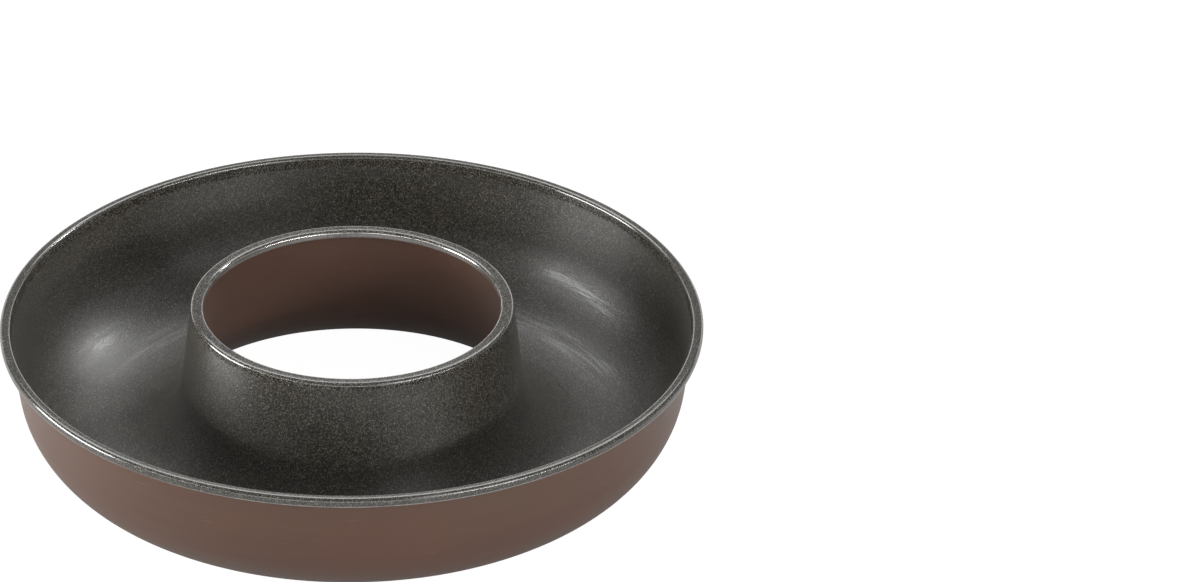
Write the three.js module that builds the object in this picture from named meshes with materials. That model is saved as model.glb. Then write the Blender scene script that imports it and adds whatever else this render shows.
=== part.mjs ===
// Savarin mould: a ring-shaped baking tin with an open chimney in the middle.
// Millimetres, +Z up, standing on z = 0 with the Z axis through the chimney.
import * as THREE from 'three';

// Overall form, measured over the finished mould
const RIM_RADIUS = 110;
const RIM_HEIGHT = 44.4;
const CHIMNEY_OPENING_RADIUS = 46.4;
const CHIMNEY_HEIGHT = 49.5;
const WALL_LEAN = 7.8; // degrees from upright
const CHIMNEY_LEAN = 7; // degrees from upright
const SHOULDER_RADIUS = 27.5; // lacquered face, from the wall round to the base
const FLARE_RADIUS = 23; // lacquered face, from the base round to the chimney

// Sheet, coat and rolled edges
const SHEET = 0.6;
const COAT = 0.1;
const RIM_ROLL_INSIDE_RADIUS = 0.5;
const RIM_ROLL_TOP_FLAT = 1;
const RIM_ROLL_SIDE_FLAT = 0.8;
const CHIMNEY_ROLL_INSIDE_RADIUS = 0.5;
const CHIMNEY_ROLL_TOP_FLAT = 1.8;
const CHIMNEY_ROLL_SIDE_FLAT = 0.5;
const ROLL_TUCK = 35; // degrees that the free edge turns in past its lowest point

// Wires inside the rolled edges
const WIRE_CLEARANCE = 0.2; // half of the play left in the narrower way of the roll
const WIRE_BUTT_GAP = 0.6;
const WIRE_SIDES = 8;

// Smoothness
const TURN_SEGMENTS = 48;
const SHOULDER_STEPS = 6;
const FLARE_STEPS = 6;
const ROLL_CORNER_STEPS = 2;
const ROLL_TUCK_STEPS = 3;

const radians = THREE.MathUtils.degToRad;

// A station is a point on the lacquered face and the angle of the normal that points to the coated face.
function station(r, z, angle) {
  return { r, z, angle };
}

// A bend in the sheet. The radius is positive when the centre is on the lacquered side, negative when it
// is on the coated side.
function bend(centre, radius, from, to, steps) {
  const stations = [];
  for (let i = 0; i <= steps; i += 1) {
    const angle = radians(from + ((to - from) * i) / steps);
    stations.push(station(centre.x + radius * Math.cos(angle), centre.y + radius * Math.sin(angle), angle));
  }
  return stations;
}

// The bend centres of a rolled edge and the room inside it. The edge is the finished face that lies
// furthest over, at the side that the roll turns to: side = 1 is outwards and side = -1 is towards the axis.
function rollForm(side, edge, top, insideRadius, topFlat, sideFlat) {
  const reach = insideRadius + SHEET + COAT;
  const topOuter = new THREE.Vector2(edge - side * reach, top - reach);
  return {
    side,
    insideRadius,
    topOuter,
    topInner: new THREE.Vector2(topOuter.x - side * topFlat, topOuter.y),
    lower: new THREE.Vector2(topOuter.x, topOuter.y - sideFlat),
    narrowestInside: 2 * insideRadius + Math.min(topFlat, sideFlat),
  };
}

const rimRoll = rollForm(
  1,
  RIM_RADIUS,
  RIM_HEIGHT,
  RIM_ROLL_INSIDE_RADIUS,
  RIM_ROLL_TOP_FLAT,
  RIM_ROLL_SIDE_FLAT,
);
const chimneyRoll = rollForm(
  -1,
  CHIMNEY_OPENING_RADIUS,
  CHIMNEY_HEIGHT,
  CHIMNEY_ROLL_INSIDE_RADIUS,
  CHIMNEY_ROLL_TOP_FLAT,
  CHIMNEY_ROLL_SIDE_FLAT,
);

// The three bends of a rolled edge, listed from the free edge inwards
function rolledEdge(roll, wallAngle) {
  const upright = roll.side > 0 ? 0 : 180;
  const freeEdge = roll.side > 0 ? -90 - ROLL_TUCK : 270 + ROLL_TUCK;
  return [
    ...bend(roll.lower, roll.insideRadius, freeEdge, upright, ROLL_TUCK_STEPS),
    ...bend(roll.topOuter, roll.insideRadius, upright, 90, ROLL_CORNER_STEPS),
    ...bend(roll.topInner, roll.insideRadius, 90, wallAngle, ROLL_CORNER_STEPS),
  ];
}

// Where a wall that starts at a station and leans inwards or outwards meets a bend that lies on z = 0
function baseBendCentre(top, lean, radius, side) {
  const tangentHeight = radius * (1 - Math.sin(radians(lean)));
  const run = Math.tan(radians(lean)) * (top.z - tangentHeight);
  const tangentRadius = top.r - side * run;
  return new THREE.Vector2(tangentRadius - side * radius * Math.cos(radians(lean)), radius);
}

// The whole section of the sheet, from the free edge of the rim to the free edge of the chimney
function sheetSection() {
  const wallAngle = 180 - WALL_LEAN;
  const rim = rolledEdge(rimRoll, wallAngle);
  const chimney = rolledEdge(chimneyRoll, CHIMNEY_LEAN).reverse();
  const shoulderCentre = baseBendCentre(rim[rim.length - 1], WALL_LEAN, SHOULDER_RADIUS, 1);
  const flareCentre = baseBendCentre(chimney[0], CHIMNEY_LEAN, FLARE_RADIUS, -1);
  const shoulder = bend(shoulderCentre, -SHOULDER_RADIUS, wallAngle, 90, SHOULDER_STEPS);
  const flare = bend(flareCentre, -FLARE_RADIUS, 90, CHIMNEY_LEAN, FLARE_STEPS);
  return [...rim, ...shoulder, ...flare, ...chimney];
}

// The face at a distance from the lacquered one, towards the coated side
function face(stations, distance) {
  return stations.map(
    (s) => new THREE.Vector2(s.r + distance * Math.cos(s.angle), s.z + distance * Math.sin(s.angle)),
  );
}

// A layer between two faces, turned about the Z axis
function turnedLayer(stations, from, to) {
  const profile = [...face(stations, from).reverse(), ...face(stations, to)];
  profile.push(profile[0].clone());
  const geometry = new THREE.LatheGeometry(profile, TURN_SEGMENTS);
  geometry.rotateX(Math.PI / 2);
  return geometry;
}

// Swaps the sides of a surface
function insideOut(geometry) {
  const index = geometry.getIndex();
  for (let i = 0; i < index.count; i += 3) {
    const first = index.getX(i);
    index.setX(i, index.getX(i + 2));
    index.setX(i + 2, first);
  }
  return geometry;
}

// The coat runs from its free face down to the sheet, so that both layers split their shared face
// along the same diagonals.
function coatLayer(stations) {
  return insideOut(turnedLayer(stations, SHEET + COAT, SHEET));
}

// A nearly closed circle in a level plane
class OpenRing extends THREE.Curve {
  constructor(radius, z, gap) {
    super();
    this.radius = radius;
    this.z = z;
    this.start = gap / radius / 2;
  }

  getPoint(t, target = new THREE.Vector3()) {
    const angle = this.start + t * (2 * Math.PI - 2 * this.start);
    return target.set(this.radius * Math.cos(angle), this.radius * Math.sin(angle), this.z);
  }
}

// A round wire bent into a ring, pressed up against the flat top of its rolled edge
function wireRing(roll) {
  const apothem = roll.narrowestInside / 2 - WIRE_CLEARANCE;
  const cornerRadius = apothem / Math.cos(Math.PI / WIRE_SIDES);
  const middle = (roll.topOuter.x + roll.topInner.x) / 2;
  const path = new OpenRing(middle, roll.topOuter.y + roll.insideRadius - apothem, WIRE_BUTT_GAP);
  const outline = [];
  for (let i = 0; i < WIRE_SIDES; i += 1) {
    const angle = ((i + 0.5) * 2 * Math.PI) / WIRE_SIDES;
    outline.push(new THREE.Vector2(cornerRadius * Math.cos(angle), cornerRadius * Math.sin(angle)));
  }
  return new THREE.ExtrudeGeometry(new THREE.Shape(outline), {
    steps: TURN_SEGMENTS,
    bevelEnabled: false,
    extrudePath: path,
  });
}

// Chocolate-brown gloss lacquer on the drawn steel
function lacquerMaterial() {
  return new THREE.MeshStandardMaterial({ color: 0x563a2f, roughness: 0.3, metalness: 0.1 });
}

// Charcoal non-stick coat
function nonstickMaterial() {
  return new THREE.MeshStandardMaterial({ color: 0x3a3835, roughness: 0.5, metalness: 0.1 });
}

// Plain drawn steel wire
function wireMaterial() {
  return new THREE.MeshStandardMaterial({ color: 0x9a9a98, roughness: 0.4, metalness: 1 });
}

function named(name, geometry, material) {
  const mesh = new THREE.Mesh(geometry, material);
  mesh.name = name;
  return mesh;
}

const section = sheetSection();
const mould = new THREE.Group();
mould.name = 'savarin_mould';
mould.add(named('pressed_shell', turnedLayer(section, 0, SHEET), lacquerMaterial()));
mould.add(named('nonstick_lining', coatLayer(section), nonstickMaterial()));
mould.add(named('rim_wire', wireRing(rimRoll), wireMaterial()));
mould.add(named('chimney_wire', wireRing(chimneyRoll), wireMaterial()));

export default mould;
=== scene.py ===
import math

import bpy
import numpy as np
from mathutils import Matrix, Vector


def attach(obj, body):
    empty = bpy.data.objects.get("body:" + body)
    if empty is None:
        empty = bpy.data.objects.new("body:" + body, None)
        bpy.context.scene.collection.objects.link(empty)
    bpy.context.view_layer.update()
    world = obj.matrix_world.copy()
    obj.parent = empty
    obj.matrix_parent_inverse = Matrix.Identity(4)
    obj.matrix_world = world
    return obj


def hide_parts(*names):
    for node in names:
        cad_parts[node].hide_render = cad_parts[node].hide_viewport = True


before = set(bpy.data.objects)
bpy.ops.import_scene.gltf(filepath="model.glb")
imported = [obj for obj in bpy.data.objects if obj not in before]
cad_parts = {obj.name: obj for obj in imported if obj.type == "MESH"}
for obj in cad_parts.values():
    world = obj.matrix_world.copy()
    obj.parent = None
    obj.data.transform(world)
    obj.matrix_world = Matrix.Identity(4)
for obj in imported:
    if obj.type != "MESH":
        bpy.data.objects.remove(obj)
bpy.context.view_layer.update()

MM = 0.001

# Photograph and camera, solved from the outlines of the mould
PHOTO_WIDTH = 1181  # pixels
FOCAL_PIXELS = 5977.7
SENSOR_WIDTH = 36.0  # millimetres
CAMERA_ELEVATION = 29.44  # degrees
CAMERA_ROLL = 0.729  # degrees
MOULD_IN_CAMERA = (-75.07, 46.75, 1893.4)  # millimetres right of, below and ahead of the lens

# Sizes of the mould in millimetres and degrees, the same as in the CAD model
RIM_RADIUS = 110.0
RIM_HEIGHT = 44.4
CHIMNEY_OPENING_RADIUS = 46.4
CHIMNEY_HEIGHT = 49.5
WALL_LEAN = 7.8
CHIMNEY_LEAN = 7.0
SHOULDER_RADIUS = 27.5
FLARE_RADIUS = 23.0
SHEET = 0.6
COAT = 0.1
RIM_ROLL_INSIDE_RADIUS = 0.5
RIM_ROLL_TOP_FLAT = 1.0
RIM_ROLL_SIDE_FLAT = 0.8
CHIMNEY_ROLL_INSIDE_RADIUS = 0.5
CHIMNEY_ROLL_TOP_FLAT = 1.8
CHIMNEY_ROLL_SIDE_FLAT = 0.5
ROLL_TUCK = 35.0

# Fineness of the turned pieces: degrees for the bends and rolls, millimetres for the walls
TURN_SEGMENTS = 288
BEND_STEP = 3.0
ROLL_STEP = 11.0
WALL_STEP = 2.0
SHARP_EDGE_ANGLE = 50.0

# Unevenness of the rolled edges in millimetres, which fades in below them
ROLL_WOBBLE = 0.05
WOBBLE_START_HEIGHT = 36.0
WOBBLE_FADE_HEIGHT = 5.0
WOBBLE_WAVES = ((2, 0.5), (3, 0.35), (5, 0.3), (9, 0.2), (14, 0.15))  # number round a turn, share
RADIUS_WOBBLE_PHASE = 0.7
HEIGHT_WOBBLE_PHASE = 2.1

# Rolled edges in the coat's look: millimetres below or inside a level where a change begins and is complete
CHIMNEY_ROLL_DEPTH = (3.0, 1.5)
RIM_ROLL_DEPTH = (4.2, 3.4)
WORN_CHIMNEY_MOUTH = (-1.3, -1.1)
WORN_CHIMNEY_TOP = (0.55, 0.75)
WORN_CHIMNEY_LOW = (2.7, 2.5)
WORN_RIM_OUTSIDE = (1.4, 1.2)
WORN_RIM_TOP = (2.3, 2.5)
WORN_RIM_LOW = (3.3, 3.1)

# Grain of the coat, in grains per millimetre
COAT_FINE_GRAINS = 2.9
COAT_DOTS = 2.2
COAT_DOT_SHARE = 0.75
DOT_RANDOMNESS = 0.9
DOT_EDGE = (0.15, 0.7, 1.0, 0.0)
DOT_STRENGTH = (0.0, 1.0, 0.5, 1.0)

# Noises in place: scale per millimetre, detail, roughness
COAT_CLOUDS = (0.05, 3.0)
LACQUER_PEEL = (0.9, 2.0)
LACQUER_CLOUDS = (0.03, 2.0)

# Noises that run round the axis: fineness along a turn, across per millimetre, detail, roughness, shift
COAT_LINES = (5.0, 1.2, 3.0, 0.6)
WEAR_PATCHES = (6.0, 0.4, 3.0, 0.6, 3.7)
LACQUER_FINE_LINES = (7.0, 2.6, 3.0, 0.65)
LACQUER_BROAD_LINES = (2.5, 0.35, 3.0, 0.6, 7.3)
LACQUER_SCRATCHES = (9.0, 3.6, 1.0, 0.5, 21.0)
WIRE_DRAWING = (4.0, 3.0, 3.0)
SMALLEST_RADIUS = 0.001

# Ranges of a noise, and the values that they become
COAT_CLOUD_RANGE = (0.35, 0.65)
COAT_GRAIN_RANGE = (0.24, 0.8)
COAT_FLECK_RANGE = (0.94, 0.97, 0.0, 0.5)
COAT_GRAIN_ROUGHNESS = (0.1, 0.9, 0.35, 0.42)
COAT_LINE_ROUGHNESS = (0.3, 0.7, 0.05, -0.05)
COAT_LINE_POLISH = (0.46, 0.62, 0.04, 0.42)
COAT_GRAIN_POLISH = (0.12, 0.72, 0.4, 1.2)
COAT_BUMP_STRENGTH = (0.0, 1.0, 0.7, 0.1)
WEAR_RANGE = (0.36, 0.5, 0.25, 1.0)
LACQUER_BROAD_RANGE = (0.3, 0.7)
LACQUER_CLOUD_RANGE = (0.4, 0.65, 0.0, 0.7)
LACQUER_STREAK_RANGE = (0.56, 0.75, 0.0, 0.3)
LACQUER_SCRATCH_RANGE = (0.76, 0.79, 0.0, 0.6)
LACQUER_ROUGHNESS = (0.3, 0.75, 0.28, 0.34)
WIRE_RANGE = (0.3, 0.7)
WIRE_ROUGHNESS = (0.3, 0.7, 0.3, 0.5)

# Single values of the materials
COAT_ROLL_SMOOTHING = 0.18
COAT_GRAIN_RELIEF = 0.6
COAT_LINE_RELIEF = 0.4
COAT_BUMP_DISTANCE = 0.0001  # metres
COAT_ROLL_POLISH = 0.8
COAT_POLISH_ROUGHNESS = 0.13
COAT_SPECULAR = 0.5
COAT_IOR = 1.8
COAT_ANISOTROPY = 0.8
WORN_METALLIC = 0.85
LACQUER_PEEL_RELIEF = 0.5
LACQUER_BUMP_STRENGTH = 0.16
LACQUER_BUMP_DISTANCE = 0.00004  # metres
LACQUER_ANISOTROPY = 0.6
LACQUER_IOR = 1.52
ROUND_THE_AXIS = 0.25  # anisotropic rotation that lays the brushing round the axis

# Linear colours
COAT_DARK = (0.0140, 0.0124, 0.0095)
COAT_DARK_CLOUD = (0.0190, 0.0168, 0.0130)
COAT_GRAIN = (0.160, 0.141, 0.105)
# Lighter grain on the rim's and the chimney's rolled edges: painted highlight for the light that the rolls'
# tops catch
COAT_GRAIN_RIM_PAINTED_LIGHT = (0.165, 0.147, 0.112)
COAT_GRAIN_CHIMNEY_PAINTED_LIGHT = (0.25, 0.23, 0.19)
COAT_FLECK = (0.28, 0.26, 0.22)
COAT_WORN = (0.62, 0.60, 0.57)
LACQUER_BROWN = (0.116, 0.064, 0.044)
LACQUER_BROWN_BROAD = (0.128, 0.071, 0.048)
LACQUER_WARM = (0.135, 0.066, 0.044)
LACQUER_STREAK = (0.17, 0.10, 0.075)
LACQUER_SCRATCH = (0.36, 0.27, 0.22)
WIRE_DARK = (0.40, 0.40, 0.39)
WIRE_LIGHT = (0.52, 0.52, 0.51)
FLOOR_GREY = (0.6, 0.6, 0.6)
FLOOR_GREY_TO_CAMERA = (0.12, 0.12, 0.12)
WHITE = (1.0, 1.0, 1.0, 1.0)

# Stage
FLOOR_HALF_WIDTH = 6.0  # metres
FLOOR_GLOW_TO_CAMERA = 0.98
FLOOR_GLOW_MIRRORED = 0.10
AMBIENT = 0.25
BACKDROP_TO_CAMERA = 0.75
BACKDROP_MIRRORED = 0.02

# Lamps: name, aim in millimetres, azimuth, elevation, size in metres, watts and beam width in degrees
LAMP_DISTANCE = 1.1  # metres
WIDE = 180.0
LAMPS = (
    ("left_softbox", (74, 69, 16), 184, 7, (0.6, 0.45), 10.5, WIDE),
    ("back_softbox", (0, 0, 30), 95, 52, (1.2, 0.5), 5.5, WIDE),
    ("backdrop", (0, 0, 30), 90, 8, (2.4, 0.35), 2.6, WIDE),
    ("right_softbox", (-84, 44, 7), 32, 33, (0.14, 0.14), 0.0135, 7.0),
    ("left_strip", (0, 0, 45), -145, 18, (0.8, 0.05), 1.4, WIDE),
    ("right_strip", (0, 0, 45), -38, 18, (0.8, 0.05), 3.0, WIDE),
    ("front_softbox", (0, 0, 30), -50, 30, (0.6, 0.5), 2.0, WIDE),
    ("front_strip", (0, 0, 30), -90, 9, (1.4, 0.3), 2.6, WIDE),
)


# Section of the sheet: each station is a radius, a height and the angle of the normal to the coated face
def bend(centre, radius, start, end, step):
    count = max(2, round(abs(end - start) / step))
    angles = np.radians(np.linspace(start, end, count + 1))
    return np.c_[centre[0] + radius * np.cos(angles), centre[1] + radius * np.sin(angles), angles]


# A roll turns outwards with side 1 and towards the axis with side -1
def rolled_edge(side, edge, top, inside_radius, top_flat, side_flat, wall_angle):
    upright = 0 if side > 0 else 180
    free_edge = -90 - ROLL_TUCK if side > 0 else 270 + ROLL_TUCK
    reach = inside_radius + SHEET + COAT
    top_outer = (edge - side * reach, top - reach)
    top_inner = (top_outer[0] - side * top_flat, top_outer[1])
    lower = (top_outer[0], top_outer[1] - side_flat)
    return np.vstack([
        bend(lower, inside_radius, free_edge, upright, ROLL_STEP),
        bend(top_outer, inside_radius, upright, 90, ROLL_STEP),
        bend(top_inner, inside_radius, 90, wall_angle, ROLL_STEP),
    ])


def rim_roll():
    sizes = (RIM_ROLL_INSIDE_RADIUS, RIM_ROLL_TOP_FLAT, RIM_ROLL_SIDE_FLAT)
    return rolled_edge(1, RIM_RADIUS, RIM_HEIGHT, *sizes, 180 - WALL_LEAN)


def chimney_roll():
    sizes = (CHIMNEY_ROLL_INSIDE_RADIUS, CHIMNEY_ROLL_TOP_FLAT, CHIMNEY_ROLL_SIDE_FLAT)
    return rolled_edge(-1, CHIMNEY_OPENING_RADIUS, CHIMNEY_HEIGHT, *sizes, CHIMNEY_LEAN)[::-1]


# The centre of a bend that lies on the floor and meets a leaning wall
def base_bend_centre(top, lean, radius, side):
    lean = math.radians(lean)
    height = radius * (1 - math.sin(lean))
    run = math.tan(lean) * (top[1] - height)
    return top[0] - side * run - side * radius * math.cos(lean), radius


# The stations between two others
def straight(start, end):
    count = max(1, round(np.hypot(*(end[:2] - start[:2])) / WALL_STEP))
    share = np.linspace(0, 1, count + 1)[1:-1, None]
    return start + (end - start) * share


def sheet_section():
    rim = rim_roll()
    chimney = chimney_roll()
    shoulder_centre = base_bend_centre(rim[-1], WALL_LEAN, SHOULDER_RADIUS, 1)
    flare_centre = base_bend_centre(chimney[0], CHIMNEY_LEAN, FLARE_RADIUS, -1)
    shoulder = bend(shoulder_centre, -SHOULDER_RADIUS, 180 - WALL_LEAN, 90, BEND_STEP)
    flare = bend(flare_centre, -FLARE_RADIUS, 90, CHIMNEY_LEAN, BEND_STEP)
    wall = straight(rim[-1], shoulder[0])
    chimney_wall = straight(flare[-1], chimney[0])
    return np.vstack([rim, wall, shoulder, flare, chimney_wall, chimney])


# The face at a distance from the lacquered one, towards the coated side
def face(stations, distance):
    normals = np.c_[np.cos(stations[:, 2]), np.sin(stations[:, 2])]
    return stations[:, :2] + distance * normals


# Turned pieces
def wobble(turn, phase):
    return sum(size * np.cos(count * turn + phase * count) for count, size in WOBBLE_WAVES)


def turned_points(profile):
    turn = np.linspace(0, 2 * np.pi, TURN_SEGMENTS, endpoint=False)[:, None]
    near_edge = np.clip((profile[:, 1] - WOBBLE_START_HEIGHT) / WOBBLE_FADE_HEIGHT, 0, 1)[None]
    radius = profile[None, :, 0] + ROLL_WOBBLE * near_edge * wobble(turn, RADIUS_WOBBLE_PHASE)
    height = profile[None, :, 1] + ROLL_WOBBLE * near_edge * wobble(turn, HEIGHT_WOBBLE_PHASE)
    return np.stack([radius * np.cos(turn), radius * np.sin(turn), height], -1).reshape(-1, 3) * MM


def turned_quads(count):
    ring = np.arange(TURN_SEGMENTS)[:, None] * count
    after = np.roll(ring, -1, 0)
    here = np.arange(count)[None]
    ahead = np.roll(here, -1, 1)
    return np.stack([ring + here, ring + ahead, after + ahead, after + here], -1).reshape(-1, 4)


def turned_mesh(name, profile):
    mesh = bpy.data.meshes.new(name)
    mesh.from_pydata(turned_points(profile).tolist(), [], turned_quads(len(profile)).tolist())
    mesh.validate()
    mesh.polygons.foreach_set("use_smooth", [True] * len(mesh.polygons))
    mesh.set_sharp_from_angle(angle=math.radians(SHARP_EDGE_ANGLE))
    mesh.update()
    return mesh


def turned_layer(name, stations, lower, upper, material, node):
    profile = np.vstack([face(stations, upper), face(stations, lower)[::-1]])
    piece = bpy.data.objects.new(name, turned_mesh(name, profile))
    bpy.context.scene.collection.objects.link(piece)
    piece.data.materials.append(material)
    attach(piece, "root")
    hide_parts(node)


# Node helpers
class Nodes:
    def __init__(self, owner):
        owner.use_nodes = True
        self.tree = owner.node_tree
        self.tree.nodes.clear()

    def add(self, kind, inputs=None, **settings):
        node = self.tree.nodes.new(kind)
        for key, value in settings.items():
            setattr(node, key, value)
        for key, value in (inputs or {}).items():
            if isinstance(value, bpy.types.NodeSocket):
                self.tree.links.new(value, node.inputs[key])
            else:
                node.inputs[key].default_value = value
        return node

    def math(self, operation, first, second=0.0):
        return self.add("ShaderNodeMath", {0: first, 1: second}, operation=operation).outputs[0]

    def ramp(self, value, low, high, start=0.0, end=1.0):
        node = self.add("ShaderNodeMapRange", {
            "Value": value, "From Min": low, "From Max": high, "To Min": start, "To Max": end,
        })
        return node.outputs["Result"]

    # From 0 to 1 between two distances below a level
    def below(self, value, level, depths):
        return self.ramp(value, level - depths[0], level - depths[1])

    def mix(self, share, first, second):
        node = self.add("ShaderNodeMix", {"Factor": share}, data_type="RGBA")
        for socket, value in ((node.inputs[6], first), (node.inputs[7], second)):
            if isinstance(value, bpy.types.NodeSocket):
                self.tree.links.new(value, socket)
            else:
                socket.default_value = (*value, 1.0)
        return node.outputs[2]

    def mix_value(self, share, first, second):
        return self.add("ShaderNodeMix", {0: share, 2: first, 3: second}, data_type="FLOAT").outputs[0]

    # The place on the piece, in millimetres
    def place(self):
        coordinates = self.add("ShaderNodeTexCoord").outputs["Object"]
        scaled = self.add("ShaderNodeVectorMath", {0: coordinates}, operation="SCALE")
        scaled.inputs["Scale"].default_value = 1 / MM
        return scaled.outputs[0]

    def height(self, place):
        return self.add("ShaderNodeSeparateXYZ", {0: place}).outputs[2]

    # Distance from the mould's axis
    def radius(self, place):
        level = self.add("ShaderNodeVectorMath", {0: place, 1: (1.0, 1.0, 0.0)}, operation="MULTIPLY")
        return self.add("ShaderNodeVectorMath", {0: level.outputs[0]}, operation="LENGTH").outputs["Value"]

    def noise(self, vector, scale, detail=2.0, roughness=0.5):
        return self.add("ShaderNodeTexNoise", {
            "Vector": vector, "Scale": scale, "Detail": detail, "Roughness": roughness,
        }).outputs["Fac"]

    # A random value for each grain
    def grains(self, vector, scale):
        cells = self.add("ShaderNodeTexVoronoi", {"Vector": vector, "Scale": scale})
        return self.add("ShaderNodeSeparateColor", {0: cells.outputs["Color"]}).outputs[0]

    # Bright dots, each of its own strength
    def dots(self, vector, scale):
        cells = self.add("ShaderNodeTexVoronoi", {
            "Vector": vector, "Scale": scale, "Randomness": DOT_RANDOMNESS,
        })
        strength = self.add("ShaderNodeSeparateColor", {0: cells.outputs["Color"]}).outputs[0]
        spot = self.ramp(cells.outputs["Distance"], *DOT_EDGE)
        return self.math("MULTIPLY", spot, self.ramp(strength, *DOT_STRENGTH))

    # Noise that runs round the mould's axis
    def turning_noise(self, place, along, across, detail=2.0, roughness=0.5, shift=0.0):
        parts = self.add("ShaderNodeSeparateXYZ", {0: place}).outputs
        radius = self.radius(place)
        inverse = self.math("DIVIDE", along, self.math("MAXIMUM", radius, SMALLEST_RADIUS))
        vector = self.add("ShaderNodeCombineXYZ", {
            0: self.math("MULTIPLY", parts[0], inverse),
            1: self.math("MULTIPLY", parts[1], inverse),
            2: self.math("MULTIPLY", radius, across),
        }).outputs[0]
        height = self.math("ADD", self.math("MULTIPLY", parts[2], across), shift)
        return self.add("ShaderNodeTexNoise", {
            "Vector": vector, "W": height, "Scale": 1.0, "Detail": detail, "Roughness": roughness,
        }, noise_dimensions="4D").outputs["Fac"]

    # 1 on the chimney's rolled edge and on the rim's, 0 elsewhere
    def on_rolls(self, place):
        height = self.height(place)
        chimney = self.below(height, CHIMNEY_HEIGHT, CHIMNEY_ROLL_DEPTH)
        outward = self.below(self.radius(place), RIM_RADIUS, RIM_ROLL_DEPTH)
        rim = self.math("MULTIPLY", outward, self.below(height, RIM_HEIGHT, RIM_ROLL_DEPTH))
        return chimney, rim

    # 1 where handling has rubbed the coat of the rolled edges thin, 0 elsewhere
    def worn_edges(self, place):
        height = self.height(place)
        radius = self.radius(place)
        mouth = self.below(radius, CHIMNEY_OPENING_RADIUS, WORN_CHIMNEY_MOUTH)
        high = self.below(height, CHIMNEY_HEIGHT, WORN_CHIMNEY_TOP)
        low = self.below(height, CHIMNEY_HEIGHT, WORN_CHIMNEY_LOW)
        chimney = self.math("MULTIPLY", self.math("MULTIPLY", mouth, high), low)
        outside = self.below(radius, RIM_RADIUS, WORN_RIM_OUTSIDE)
        under = self.below(height, RIM_HEIGHT, WORN_RIM_TOP)
        edges = self.math("MAXIMUM", chimney, self.math("MULTIPLY", outside, under))
        kept = self.below(height, RIM_HEIGHT, WORN_RIM_LOW)
        patches = self.ramp(self.turning_noise(place, *WEAR_PATCHES), *WEAR_RANGE)
        return self.math("MULTIPLY", self.math("MULTIPLY", edges, kept), patches)

    # One level for the camera's rays and another for mirrored ones, so that metal shows the background too
    def seen_level(self, path, to_camera, mirrored):
        bounced = self.math("MAXIMUM", path["Is Glossy Ray"], path["Is Transmission Ray"])
        direct = self.math("MULTIPLY", path["Is Camera Ray"], to_camera)
        return self.math("ADD", direct, self.math("MULTIPLY", bounced, mirrored))

    def round_the_axis(self):
        return self.add("ShaderNodeTangent", direction_type="RADIAL", axis="Z").outputs[0]

    def finish(self, shader):
        output = self.add("ShaderNodeOutputMaterial")
        self.tree.links.new(shader.outputs[0], output.inputs["Surface"])


# Materials
def coat_colour(n, place, fine, grain, chimney, rim):
    cloud = n.noise(place, *COAT_CLOUDS)
    dark = n.mix(n.ramp(cloud, *COAT_CLOUD_RANGE), COAT_DARK, COAT_DARK_CLOUD)
    # The rolled edges get lighter grains, a painted highlight for the light that the rolls catch
    inside = n.mix(rim, COAT_GRAIN, COAT_GRAIN_RIM_PAINTED_LIGHT)
    grain_with_painted_roll_light = n.mix(chimney, inside, COAT_GRAIN_CHIMNEY_PAINTED_LIGHT)
    body = n.mix(n.ramp(grain, *COAT_GRAIN_RANGE), dark, grain_with_painted_roll_light)
    return n.mix(n.ramp(fine, *COAT_FLECK_RANGE), body, COAT_FLECK)


def coat_roughness(n, grain, lines, rolls):
    satin = n.math("ADD", n.ramp(grain, *COAT_GRAIN_ROUGHNESS), n.ramp(lines, *COAT_LINE_ROUGHNESS))
    return n.math("SUBTRACT", satin, n.math("MULTIPLY", rolls, COAT_ROLL_SMOOTHING))


def coat_normal(n, grain, lines, rolls):
    grained = n.math("MULTIPLY", grain, COAT_GRAIN_RELIEF)
    height = n.math("ADD", grained, n.math("MULTIPLY", lines, COAT_LINE_RELIEF))
    strength = n.ramp(rolls, *COAT_BUMP_STRENGTH)
    return n.add("ShaderNodeBump", {
        "Strength": strength, "Distance": COAT_BUMP_DISTANCE, "Height": height,
    }).outputs[0]


def coat_polish(n, grain, lines, rolls):
    brushed = n.math("MULTIPLY", n.ramp(lines, *COAT_LINE_POLISH), n.ramp(grain, *COAT_GRAIN_POLISH))
    return n.mix_value(rolls, brushed, COAT_ROLL_POLISH)


def nonstick_material():
    material = bpy.data.materials.new("charcoal_nonstick")
    n = Nodes(material)
    place = n.place()
    chimney, rim = n.on_rolls(place)
    rolls = n.math("MAXIMUM", chimney, rim)
    fine = n.grains(place, COAT_FINE_GRAINS)
    dots = n.math("MULTIPLY", n.dots(place, COAT_DOTS), COAT_DOT_SHARE)
    grain = n.math("ADD", dots, n.math("MULTIPLY", fine, 1 - COAT_DOT_SHARE))
    lines = n.turning_noise(place, *COAT_LINES)
    worn = n.worn_edges(place)
    shader = n.add("ShaderNodeBsdfPrincipled", {
        "Base Color": n.mix(worn, coat_colour(n, place, fine, grain, chimney, rim), COAT_WORN),
        "Metallic": n.math("MULTIPLY", worn, WORN_METALLIC),
        "Roughness": coat_roughness(n, grain, lines, rolls),
        "Normal": coat_normal(n, grain, lines, rolls),
        "Coat Weight": coat_polish(n, grain, lines, rolls),
        "Coat Roughness": COAT_POLISH_ROUGHNESS,
        "Specular IOR Level": COAT_SPECULAR,
        "IOR": COAT_IOR,
        "Tangent": n.round_the_axis(),
        "Anisotropic": COAT_ANISOTROPY,
        "Anisotropic Rotation": ROUND_THE_AXIS,
    })
    n.finish(shader)
    return material


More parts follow.
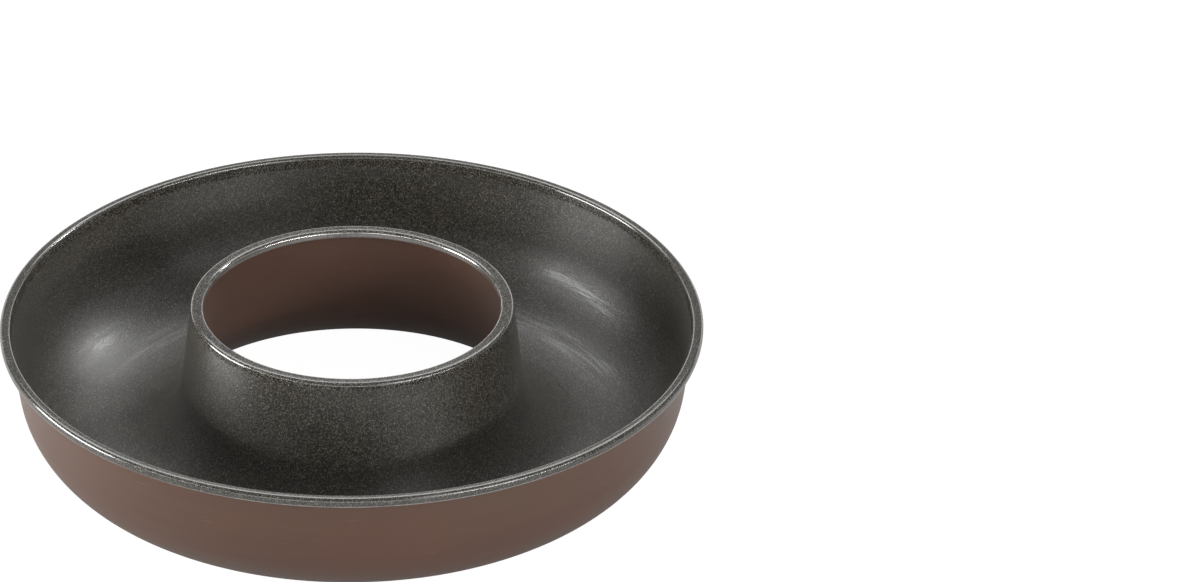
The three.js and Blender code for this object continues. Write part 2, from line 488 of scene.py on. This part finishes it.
def lacquer_colour(n, place, fine):
    broad = n.turning_noise(place, *LACQUER_BROAD_LINES)
    brown = n.mix(n.ramp(broad, *LACQUER_BROAD_RANGE), LACQUER_BROWN, LACQUER_BROWN_BROAD)
    cloud = n.noise(place, *LACQUER_CLOUDS)
    warm = n.mix(n.ramp(cloud, *LACQUER_CLOUD_RANGE), brown, LACQUER_WARM)
    streaked = n.mix(n.ramp(fine, *LACQUER_STREAK_RANGE), warm, LACQUER_STREAK)
    scratch = n.ramp(n.turning_noise(place, *LACQUER_SCRATCHES), *LACQUER_SCRATCH_RANGE)
    return n.mix(scratch, streaked, LACQUER_SCRATCH)


def lacquer_normal(n, place, fine):
    peel = n.noise(place, *LACQUER_PEEL)
    height = n.math("ADD", fine, n.math("MULTIPLY", peel, LACQUER_PEEL_RELIEF))
    return n.add("ShaderNodeBump", {
        "Strength": LACQUER_BUMP_STRENGTH, "Distance": LACQUER_BUMP_DISTANCE, "Height": height,
    }).outputs[0]


def lacquer_material():
    material = bpy.data.materials.new("brown_lacquer")
    n = Nodes(material)
    place = n.place()
    fine = n.turning_noise(place, *LACQUER_FINE_LINES)
    shader = n.add("ShaderNodeBsdfPrincipled", {
        "Base Color": lacquer_colour(n, place, fine),
        "Roughness": n.ramp(fine, *LACQUER_ROUGHNESS),
        "Normal": lacquer_normal(n, place, fine),
        "IOR": LACQUER_IOR,
        "Tangent": n.round_the_axis(),
        "Anisotropic": LACQUER_ANISOTROPY,
        "Anisotropic Rotation": ROUND_THE_AXIS,
    })
    n.finish(shader)
    return material


def wire_material():
    material = bpy.data.materials.new("wire_steel")
    n = Nodes(material)
    drawn = n.turning_noise(n.place(), *WIRE_DRAWING)
    shader = n.add("ShaderNodeBsdfPrincipled", {
        "Base Color": n.mix(n.ramp(drawn, *WIRE_RANGE), WIRE_DARK, WIRE_LIGHT),
        "Roughness": n.ramp(drawn, *WIRE_ROUGHNESS),
        "Metallic": 1.0,
    })
    n.finish(shader)
    return material


def floor_material():
    material = bpy.data.materials.new("pale_floor")
    n = Nodes(material)
    path = n.add("ShaderNodeLightPath").outputs
    lift = n.seen_level(path, FLOOR_GLOW_TO_CAMERA, FLOOR_GLOW_MIRRORED)
    glow = n.add("ShaderNodeEmission", {"Strength": lift})
    grey = n.mix(path["Is Camera Ray"], FLOOR_GREY, FLOOR_GREY_TO_CAMERA)
    diffuse = n.add("ShaderNodeBsdfDiffuse", {"Color": grey})
    n.finish(n.add("ShaderNodeAddShader", {0: diffuse.outputs[0], 1: glow.outputs[0]}))
    return material


# Stage
def add_floor():
    mesh = bpy.data.meshes.new("floor")
    half = FLOOR_HALF_WIDTH
    corners = [(-half, -half, 0), (half, -half, 0), (half, half, 0), (-half, half, 0)]
    mesh.from_pydata(corners, [], [(0, 1, 2, 3)])
    floor = bpy.data.objects.new("floor", mesh)
    bpy.context.scene.collection.objects.link(floor)
    mesh.materials.append(floor_material())


def add_world():
    world = bpy.data.worlds.new("studio")
    bpy.context.scene.world = world
    n = Nodes(world)
    path = n.add("ShaderNodeLightPath").outputs
    lift = n.seen_level(path, BACKDROP_TO_CAMERA, BACKDROP_MIRRORED)
    strength = n.math("ADD", lift, AMBIENT)
    white = n.add("ShaderNodeBackground", {"Color": WHITE, "Strength": strength})
    output = n.add("ShaderNodeOutputWorld")
    n.tree.links.new(white.outputs[0], output.inputs["Surface"])


def add_lamp(name, aim, azimuth, elevation, size, watts, beam):
    turn = math.radians(azimuth)
    tilt = math.radians(elevation)
    towards = Vector((math.cos(turn) * math.cos(tilt), math.sin(turn) * math.cos(tilt), math.sin(tilt)))
    data = bpy.data.lights.new(name, "AREA")
    data.shape = "RECTANGLE"
    data.size, data.size_y = size
    data.energy = watts
    data.spread = math.radians(beam)
    lamp = bpy.data.objects.new(name, data)
    bpy.context.scene.collection.objects.link(lamp)
    lamp.location = Vector(aim) * MM + towards * LAMP_DISTANCE
    lamp.rotation_mode = "QUATERNION"
    lamp.rotation_quaternion = towards.to_track_quat("Z", "Y")
    lamp.visible_camera = False


def add_camera():
    tilt = math.radians(CAMERA_ELEVATION)
    roll = math.radians(CAMERA_ROLL)
    side = Vector((1, 0, 0))
    down = Vector((0, -math.sin(tilt), -math.cos(tilt)))
    ahead = Vector((0, math.cos(tilt), -math.sin(tilt)))
    right = math.cos(roll) * side - math.sin(roll) * down
    below = math.sin(roll) * side + math.cos(roll) * down
    place = -(MOULD_IN_CAMERA[0] * right + MOULD_IN_CAMERA[1] * below + MOULD_IN_CAMERA[2] * ahead) * MM
    data = bpy.data.cameras.new("camera")
    data.sensor_width = SENSOR_WIDTH
    data.sensor_fit = "HORIZONTAL"
    data.lens = FOCAL_PIXELS * SENSOR_WIDTH / PHOTO_WIDTH
    camera = bpy.data.objects.new("camera", data)
    bpy.context.scene.collection.objects.link(camera)
    turn = Matrix((right, -below, -ahead)).transposed()
    camera.matrix_world = Matrix.Translation(place) @ turn.to_4x4()
    bpy.context.scene.camera = camera


def add_pieces():
    stations = sheet_section()
    lacquer = lacquer_material()
    coat = nonstick_material()
    turned_layer("shell", stations, 0.0, SHEET, lacquer, "pressed_shell")
    turned_layer("lining", stations, SHEET, SHEET + COAT, coat, "nonstick_lining")


# The wires keep their CAD meshes
def finish_wires():
    steel = wire_material()
    for node in ("rim_wire", "chimney_wire"):
        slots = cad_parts[node].data.materials
        slots.clear()
        slots.append(steel)


def main():
    bpy.context.scene.view_settings.view_transform = "Standard"
    add_camera()
    add_pieces()
    finish_wires()
    add_floor()
    add_world()
    for lamp in LAMPS:
        add_lamp(*lamp)


main()
